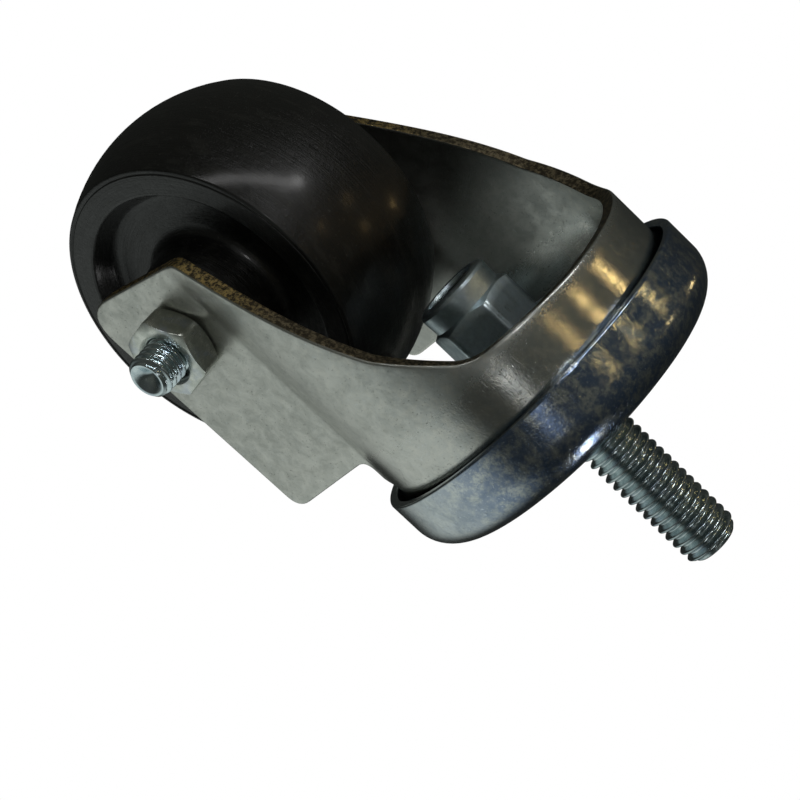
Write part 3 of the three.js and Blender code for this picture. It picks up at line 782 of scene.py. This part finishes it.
def filled_layout(borders):
    """Triangles that fill the layout between its borders. Gives the points, the triangles, the number
    that each point of a border has among them, and the place where each border starts."""
    seam_w = np.linspace(REAR_SKIRT_EDGE + EDGE_INSET, hole_w - EDGE_INSET, 34)[1:-1]
    right_seam = np.stack([np.full(len(seam_w), seam_u), seam_w], axis=1)
    left_seam = (right_seam * (-1, 1))[::-1]
    outline = np.vstack([borders[0], right_seam, borders[1], left_seam])
    grid_u, grid_w = np.meshgrid(np.arange(-seam_u, seam_u, SHEET_STEP),
                                 np.arange(fork_low[2], hole_w, SHEET_STEP))
    grid_u[::2] += SHEET_STEP / 2
    grid = np.stack([grid_u.ravel(), grid_w.ravel()], axis=1)
    inside, nearest = inside_outline(grid, outline)
    room = SHEET_STEP * 0.45
    keep = inside & (nearest > room)
    for border in borders[2:]:
        within, nearest = inside_outline(grid, border)
        keep &= ~within & (nearest > room)
    flat = np.vstack([outline, borders[2], borders[3], grid[keep]])
    count = len(outline)
    constraints = [(i, (i + 1) % count) for i in range(count)]
    for border in borders[2:]:
        constraints += [(count + i, count + (i + 1) % len(border)) for i in range(len(border))]
        count += len(border)
    made = delaunay_2d_cdt([Vector(p) for p in flat], constraints, [], 0, 1e-5)
    flat_out = np.array([v[:] for v in made[0]])
    index_of = {}
    for i, originals in enumerate(made[3]):
        for original in originals:
            index_of[original] = i
    triangles = np.array([f for f in made[2] if len(f) == 3])
    middles = flat_out[triangles].mean(axis=1)
    wanted, _ = inside_outline(middles, outline)
    for border in borders[2:]:
        within, _ = inside_outline(middles, border)
        wanted &= ~within
    starts = [0, len(borders[0]) + len(right_seam), len(outline), len(outline) + len(borders[2])]
    return flat_out, triangles[wanted], index_of, starts


def fork():
    edges = sheared_edges()
    borders = [path + EDGE_INSET * inward for path, inward, closed in edges]
    flat, triangles, index_of, starts = filled_layout(borders)
    outer, normal = sheet_both_sides(flat[:, 0], flat[:, 1])
    inner = outer - SHEET * normal
    points = [outer, inner]
    cut = [np.zeros(2 * len(outer))]
    # the inner face's vertices carry the mask for the sheet's painted shade
    inner_side_painted_shade = [np.repeat((0.0, 1.0), len(outer))]
    faces = [list(t) for t in triangles] + [[len(outer) + i for i in t[::-1]] for t in triangles]
    total = 2 * len(outer)
    for start, (path, inward, closed) in zip(starts, edges):
        first = [index_of[start + i] for i in range(len(path))]
        rows = [first]
        for depth, reach in CUT_ROWS:
            where = path + inward * EDGE_INSET * (1 - reach)
            on_outside, out = sheet_both_sides(where[:, 0], where[:, 1])
            points.append(on_outside - out * SHEET * depth)
            cut.append(np.full(len(path), 1.0 if 0.1 < depth < 0.99 else 0.0))
            inner_side_painted_shade.append(np.full(len(path), 0.0))
            rows.append(list(range(total, total + len(path))))
            total += len(path)
        rows.append([len(outer) + i for i in first])
        for above, below in zip(rows[:-1], rows[1:]):
            for i in range(len(path) if closed else len(path) - 1):
                n = (i + 1) % len(path)
                faces.append([above[i], below[i], below[n], above[n]])
    mesh_points = np.vstack(points)
    piece = new_piece("formed_fork", mesh_points, faces, zinc_sheet, 60)
    marks = {"sheared": np.concatenate(cut), "inner_side_painted_shade": np.concatenate(inner_side_painted_shade)}
    mark_vertices(piece, mesh_points, marks)
    return place(piece, "fork_side", ["fork"])


def mark_vertices(piece, points, marks):
    """Writes number attributes on a mesh's vertices, after doubles among its points were merged."""
    nearest = KDTree(len(points))
    for i, point in enumerate(points):
        nearest.insert(point * MM, i)
    nearest.balance()
    found = [nearest.find(v.co)[1] for v in piece.data.vertices]
    for name, values in marks.items():
        attribute = piece.data.attributes.new(name, "FLOAT", "POINT")
        attribute.data.foreach_set("value", values[found].astype(float))


# ---- wheel ----
TREAD_DROP = 3.3
WHEEL_HALF = HUB_HALF - 4.25
SIDE_RING = WHEEL_RADIUS - 9.7
WEB_FACE = WHEEL_HALF - 5.5
HUB_RADIUS = 15.0
WHEEL_BORE = bushing_high[2] - AXLE_Z + GAP


def wheel_half_profile():
    """From the middle of the tread, over the shoulder and the side ring, into the hub's end."""
    tread_edge = WHEEL_HALF - 1.4
    tread = [(WHEEL_RADIUS - TREAD_DROP * (y / tread_edge) ** 2, y, 0)
             for y in np.linspace(0, tread_edge - 1.5, 9)]
    return tread + [
        (WHEEL_RADIUS - TREAD_DROP - 0.6, WHEEL_HALF - 0.1, 1.9),
        (SIDE_RING + 5.2, WHEEL_HALF, 0.3),
        (SIDE_RING + 4.9, WHEEL_HALF - 0.25, 0.2),
        (SIDE_RING + 4.6, WHEEL_HALF, 0.3),
        (SIDE_RING, WHEEL_HALF, 0.9),
        (SIDE_RING - 2.5, WEB_FACE, 2.6),
        (HUB_RADIUS + 0.8, WEB_FACE, 2.8),
        (HUB_RADIUS - 1, HUB_HALF, 1.5),
        (WHEEL_BORE, HUB_HALF, 0.4),
    ]


def wheel():
    right = wheel_half_profile()
    left = [(r, -y, fillet) for r, y, fillet in right[:0:-1]]
    profile = filled_in(rounded(left + right, closed=True, steps=6), 1.4, closed=True)
    points, faces = lathe_mesh(profile, 256, True)
    piece = new_piece("moulded_wheel", onto_axle(points), faces, hard_rubber, 50)
    return place(piece, "wheel_side", ["wheel"])


# ---- nuts ----
KING_NUT_FLATS = 17.46
KING_NUT_TURN = 28
KING_NUT_HEX = 10.3
KING_NUT_COLLAR = 8.6
AXLE_NUT_FLATS = 15.9
AXLE_NUT_TURN = 6
AXLE_NUT_FACE = AXLE_NUT_FLATS / 2 * HEX_FACE_EDGE - 0.2


def king_nut():
    top = nut_high[2]
    bottom = nut_low[2]
    hex_end = top - KING_NUT_HEX
    bore = KING_THREAD_RADIUS + GAP
    collar = KING_NUT_COLLAR
    slot_radius = insert_high[0] + GAP
    rings = [
        ("round", bore, bottom + 0.8, 0), ("round", bore + 0.1, bottom + 0.15, 0),
        ("round", bore + 0.4, bottom, 0), ("round", collar - 1.9, bottom, 0),
        ("round", collar - 1.1, bottom + 0.18, 0),
        ("round", collar - 0.5, bottom + 0.6, 0), ("round", collar - 0.2, bottom + 1.2, 0),
        ("round", collar - 0.25, bottom + 2.6, 0), ("round", collar - 0.35, hex_end - 1.0, 0),
        ("round", collar - 0.35, hex_end - 0.2, 0), ("round", collar - 0.1, hex_end - 0.02, 0),
        ("hex", -0.12, hex_end - 0.02, -1), ("hex", 0, hex_end + 0.16, -1), ("hex", 0, hex_end + 2.0, -1),
        ("hex", 0, top - 0.1, 0), ("hex", -0.1, top, 0),
        ("round", bore + 0.6, top, 0), ("round", bore, top - 0.6, 0),
        ("round", bore, insert_high[2] + GAP, 0), ("round", slot_radius, insert_high[2] + GAP, 0),
        ("round", slot_radius, bottom + 0.8, 0),
    ]
    points, faces = hex_lathe_mesh(rings, KING_NUT_FLATS, KING_NUT_TURN)
    piece = new_piece("plated_lock_nut", points, faces, zinc_king_nut, 28)
    return place(piece, "stem_side", ["king_nut"])


def axle_nut():
    inner, outer = axle_nut_low[1], axle_nut_high[1]
    bore = AXLE_RADIUS + GAP
    rings = [
        ("round", bore, outer - 0.9, 0), ("round", bore + 0.75, outer - 0.06, 0),
        ("round", bore + 0.9, outer, 0), ("round", AXLE_NUT_FACE, outer, 0),
        ("hex", -0.08, outer, 1), ("hex", 0, outer - 0.14, 1),
        ("hex", 0, outer - 1.6, 1), ("hex", 0, inner + 1.6, -1), ("hex", 0, inner + 0.14, -1),
        ("hex", -0.08, inner, -1), ("round", AXLE_NUT_FACE, inner, 0),
        ("round", bore + 0.8, inner, 0), ("round", bore, inner + 0.8, 0),
    ]
    points, faces = hex_lathe_mesh(rings, AXLE_NUT_FLATS, AXLE_NUT_TURN)
    piece = new_piece("plated_axle_nut", onto_axle(points), faces, zinc_axle_nut, 28)
    return place(piece, "fork_side", ["axle_nut"])


# ---- axle bolt ----
AXLE_PITCH = 1.588
AXLE_THREAD_LENGTH = 12.6
DIMPLE_RADIUS = 3.1
DIMPLE_DEPTH = 2.6
AXLE_THREAD_DEPTH = 0.95
AXLE_THREAD_ROWS = 130
AXLE_CHAMFER = 1.0
AXLE_HEAD_HEIGHT = 6.2
AXLE_HEAD_TURN = 30


def axle_bolt():
    end = axle_high[1]
    thread_start = end - AXLE_THREAD_LENGTH
    neck = AXLE_RADIUS - 0.25
    points, faces = run_tree(thread, {"Radius": AXLE_RADIUS, "Pitch": AXLE_PITCH, "Depth": AXLE_THREAD_DEPTH,
                                      "Length": AXLE_THREAD_LENGTH, "Chamfer": AXLE_CHAMFER, "Neck": neck,
                                      "Along": AXLE_THREAD_ROWS})
    points = points + (0, 0, thread_start)
    tip_radius = AXLE_RADIUS - AXLE_CHAMFER
    dimple = [(tip_radius, end), (DIMPLE_RADIUS + 0.35, end - 0.02), (DIMPLE_RADIUS, end - 0.14),
              (DIMPLE_RADIUS * 0.5, end - 0.1 - DIMPLE_DEPTH * 0.5), (0.35, end - DIMPLE_DEPTH + 0.1),
              (0, end - DIMPLE_DEPTH)]
    cap = lathe_mesh(dimple, THREAD_STEPS, False)
    head_out, head_in = axle_low[1], axle_low[1] + AXLE_HEAD_HEIGHT
    shank = lathe_mesh([(neck, thread_start), (AXLE_RADIUS, thread_start - 0.4),
                        (AXLE_RADIUS, head_in - 0.5), (0, head_in - 0.5)], THREAD_STEPS, False)
    head_rings = [
        ("round", 0.02, head_in, 0), ("round", AXLE_NUT_FACE, head_in, 0), ("hex", -0.08, head_in, 0),
        ("hex", 0, head_in - 0.12, 0), ("hex", 0, head_out + 1.8, -1), ("hex", 0, head_out + 0.14, -1),
        ("hex", -0.08, head_out, -1), ("round", AXLE_NUT_FACE, head_out, 0), ("round", 0.02, head_out, 0),
    ]
    head = hex_lathe_mesh(head_rings, AXLE_NUT_FLATS, AXLE_HEAD_TURN)
    points, faces = joined((points, faces), cap, shank, head)
    piece = new_piece("threaded_axle_bolt", onto_axle(points), faces, zinc_axle, 32)
    return place(piece, "fork_side", ["axle_bolt"])


# ---- plain turned pieces ----
def ring_piece(name, inner, outer, low, high, edge, material, body, node, on_axle=False):
    """A washer, sleeve or bushing with broken edges."""
    corners = [(inner, low, edge), (outer, low, edge), (outer, high, edge), (inner, high, edge)]
    profile = filled_in(arc_rounded(corners, 22), 2.5, closed=True)
    points, faces = lathe_mesh(profile, 128, True)
    points = onto_axle(points) if on_axle else points
    return place(new_piece(name, points, faces, material, 50), body, [node])


def lower_race():
    low, high, outer = race_low[2], race_high[2], race_high[0]
    middle = (lower_ball_low[0] + lower_ball_high[0]) / 2
    inner = KING_THREAD_RADIUS + GAP
    corners = [(inner, low, 0.3), (outer, low, 1.0), (outer, high, 0.4), (middle + 2.0, high, 0.2),
               (middle, high - 1.4, 1.8), (middle - 2.0, high, 0.2), (inner, high, 0.3)]
    profile = filled_in(arc_rounded(corners, 12), 2.0, closed=True)
    points, faces = lathe_mesh(profile, 160, True)
    piece = new_piece("turned_lower_race", points, faces, zinc_king_nut, 50)
    return place(piece, "stem_side", ["lower_race"])


king_bolt()
race_cup()
fork()
wheel()
king_nut()
axle_nut()
axle_bolt()
lower_race()
ball_ring("upper_ball_set", "upper_ball_", upper_ball_low, upper_ball_high, "upper_balls")
ball_ring("lower_ball_set", "lower_ball_", lower_ball_low, lower_ball_high, "lower_balls")

king_bore = KING_THREAD_RADIUS + GAP
bush_inner = AXLE_RADIUS + GAP + SLEEVE_WALL + GAP
ring_piece("plated_clamp_washer", king_bore, clamp_high[0], clamp_low[2], clamp_high[2], 0.3, zinc_king_nut,
           "stem_side", "clamp_washer")
ring_piece("nylon_locking_ring", king_bore, insert_high[0], insert_low[2], insert_high[2], 0.15, blue_nylon,
           "stem_side", "king_nut_insert")
ring_piece("bronze_wheel_bushing", bush_inner, bushing_high[2] - AXLE_Z, bushing_low[1], bushing_high[1], 0.3,
           bronze, "wheel_side", "wheel_bushing", on_axle=True)
ring_piece("spacer_sleeve", AXLE_RADIUS + GAP, sleeve_high[2] - AXLE_Z, sleeve_low[1], sleeve_high[1], 0.2,
           zinc_axle, "fork_side", "axle_sleeve", on_axle=True)
for label in ("nut", "head"):
    low, high = low_high(f"thrust_washer_{label}_side")
    ring_piece(f"{label}_side_washer", bush_inner, washer_high[2] - AXLE_Z, low[1], high[1], 0.25, zinc_axle,
               "fork_side", f"thrust_washer_{label}_side", on_axle=True)


# ---- camera ----
CAMERA_AT = Vector((0.25610, 0.24281, -0.07697))
CAMERA_RIGHT = Vector((0.51557, -0.46188, 0.72170))
CAMERA_DOWN = Vector((-0.39433, 0.61989, 0.67841))
CAMERA_AHEAD = Vector((-0.76072, -0.63436, 0.13746))
SENSOR_WIDTH = 36.0
FOCAL_LENGTH = 81.96

camera = new_object("camera", bpy.data.cameras.new("camera"))
camera.data.sensor_width = SENSOR_WIDTH
camera.data.lens = FOCAL_LENGTH
camera.data.clip_start = 0.01
turned = Matrix((CAMERA_RIGHT, -CAMERA_DOWN, -CAMERA_AHEAD)).transposed().to_4x4()
camera.matrix_world = Matrix.Translation(CAMERA_AT) @ turned
bpy.context.scene.camera = camera


# ---- floor, world and lamps: metres, and directions as right of, below and ahead of the camera's view ----
FLOOR_REACH = 1.2
FLOOR_HEIGHT = -0.45
LAMP_DISTANCE = 0.9
OBJECT_MIDDLE = Vector((-0.012, 0.0, -0.034))
WARM = (1.0, 0.68, 0.28)


def floor():
    mesh = bpy.data.meshes.new("floor")
    sides = ((-1, -1), (1, -1), (1, 1), (-1, 1))
    corners = [(x * FLOOR_REACH, y * FLOOR_REACH, FLOOR_HEIGHT) for x, y in sides]
    mesh.from_pydata(corners, [], [(0, 1, 2, 3)])
    finish = Finish("pale_floor", Metallic=0.0, Roughness=0.9, Emission_Strength=0.72)
    finish.shader.inputs["Emission Color"].default_value = colour(1.0, 1.0, 1.0)
    pale, paler = colour(0.93, 0.93, 0.93), colour(0.96, 0.96, 0.96)
    finish.set("Base Color", finish.mix(finish.noise(3.0, 2.0), pale, paler))
    mesh.materials.append(finish.material)
    stage = new_object("floor", mesh)
    stage.visible_diffuse = False
    stage.visible_glossy = False


def view_direction(right, down, ahead):
    return (right * CAMERA_RIGHT + down * CAMERA_DOWN + ahead * CAMERA_AHEAD).normalized()


def world_light():
    """White behind the object. The metal mirrors a dark room over a white sheet that lies low on the left."""
    world = bpy.data.worlds.new("studio")
    bpy.context.scene.world = world
    world.use_nodes = True
    graph = Graph(world.node_tree)
    background = next(n for n in world.node_tree.nodes if n.type == "BACKGROUND")
    seen = graph.node("ShaderNodeLightPath", output="Is Camera Ray")
    direction = graph.node("ShaderNodeTexCoord", output="Generated")

    def towards(right, down, ahead):
        """1 in this direction, and less away from it."""
        return graph.node("ShaderNodeVectorMath", {"operation": "DOT_PRODUCT"}, output="Value",
                          inputs=(direction, tuple(view_direction(right, down, ahead))))

    sheet = towards(-0.45, 0.85, 0.25).smooth(0.60, 0.95)
    room = towards(0.1, -0.6, -0.6).smooth(-0.6, 1.0)
    sky = graph.mix(room, colour(0.022, 0.024, 0.022), colour(0.090, 0.092, 0.080))
    sky = graph.mix(sheet, sky, colour(0.50, 0.54, 0.52))
    backdrop = graph.mix(seen, sky, colour(1.0, 1.0, 1.0))
    world.node_tree.links.new(backdrop.socket, background.inputs["Color"])
    background.inputs["Strength"].default_value = 1.0


def lamp(name, right, down, ahead, size, power, tone=(1.0, 1.0, 1.0), size_y=None):
    """A lamp in a direction from the object; a second size makes it a strip."""
    data = bpy.data.lights.new(name, "AREA")
    data.shape = "RECTANGLE" if size_y else "SQUARE"
    data.size = size
    if size_y:
        data.size_y = size_y
    data.energy = power
    data.color = tone
    at = OBJECT_MIDDLE + view_direction(right, down, ahead) * LAMP_DISTANCE
    back = (at - OBJECT_MIDDLE).normalized()
    across = (CAMERA_RIGHT - CAMERA_RIGHT.dot(back) * back).normalized()
    facing = Matrix((across, back.cross(across), back)).transposed().to_4x4()
    new_object(name, data).matrix_world = Matrix.Translation(at) @ facing


floor()
world_light()
lamp("long_top_strip", -0.10, -0.76, -0.62, 0.95, 2.4, size_y=0.07)
lamp("flash", 0.42, -0.73, -0.53, 0.07, 0.5)
lamp("camera_flash", 0.05, -0.22, -0.97, 0.06, 0.6)
lamp("front_lamp", 0.00, 0.42, -0.91, 0.14, 0.05)
lamp("low_right_strip", 0.62, 0.70, 0.05, 0.06, 0.6, size_y=0.4)
warm_bulbs = [(0.80, -0.54, -0.25, 0.060), (0.93, -0.32, -0.17, 0.060), (0.70, -0.34, -0.62, 0.050),
              (0.51, -0.10, -0.85, 0.030), (0.83, -0.42, 0.36, 0.060)]
for number, (right, down, ahead, power) in enumerate(warm_bulbs, 1):
    lamp(f"warm_bulb_{number}", right, down, ahead, 0.03, power, WARM)

bpy.context.scene.view_settings.view_transform = "Standard"
bpy.context.scene.view_settings.look = "None"
